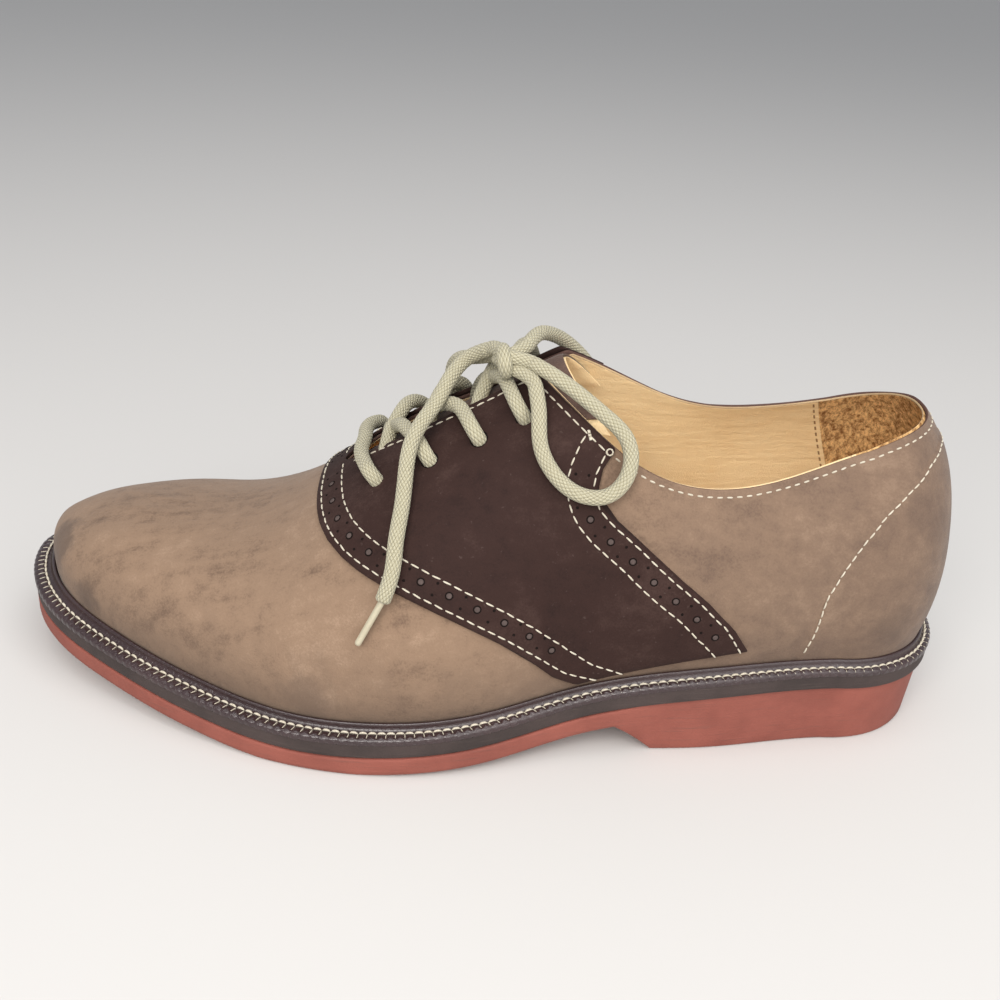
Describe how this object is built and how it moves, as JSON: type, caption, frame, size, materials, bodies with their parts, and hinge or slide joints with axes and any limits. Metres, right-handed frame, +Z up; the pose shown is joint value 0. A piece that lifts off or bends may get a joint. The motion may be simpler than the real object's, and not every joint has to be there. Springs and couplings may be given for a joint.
{
  "type": "saddle shoe",
  "caption": "Left men's saddle shoe: hollow suede upper with a laced contrast saddle, storm welt, midsole and rubber outsole with a heel.",
  "frame": {"origin": "middle of the bottom of the bounding box, on the floor under the sole", "axes": "+X towards the heel, -X towards the toe, -Y the outer (lateral) side of this left shoe, +Z up"},
  "size_m": [0.3062, 0.1207, 0.1229],
  "materials": {
    "outsole": "brick-red rubber, matte",
    "midsole": "grey-brown, matte",
    "welt": "dark brown, glossy, stitched",
    "insole": "tan leather, satin",
    "upper": "taupe nubuck",
    "saddle": "dark brown nubuck",
    "tongue": "taupe nubuck, tan lining",
    "lace": "cream round braid",
    "aglet": "clear tip over the cream braid"
  },
  "bodies": {
    "root": {"outsole": "outsole", "midsole": "midsole", "welt": "welt", "insole": "insole", "upper": "upper", "saddle": "saddle", "tongue": "tongue", "lace_bar": "lace", "lace_cross_1": "lace", "lace_cross_2": "lace", "lace_cross_3": "lace", "lace_knot": "lace", "lace_loop_near": "lace", "lace_loop_far": "lace", "lace_end_near": "lace", "lace_end_far": "lace", "lace_aglet_near": "aglet", "lace_aglet_far": "aglet"}
  },
  "joints": []
}
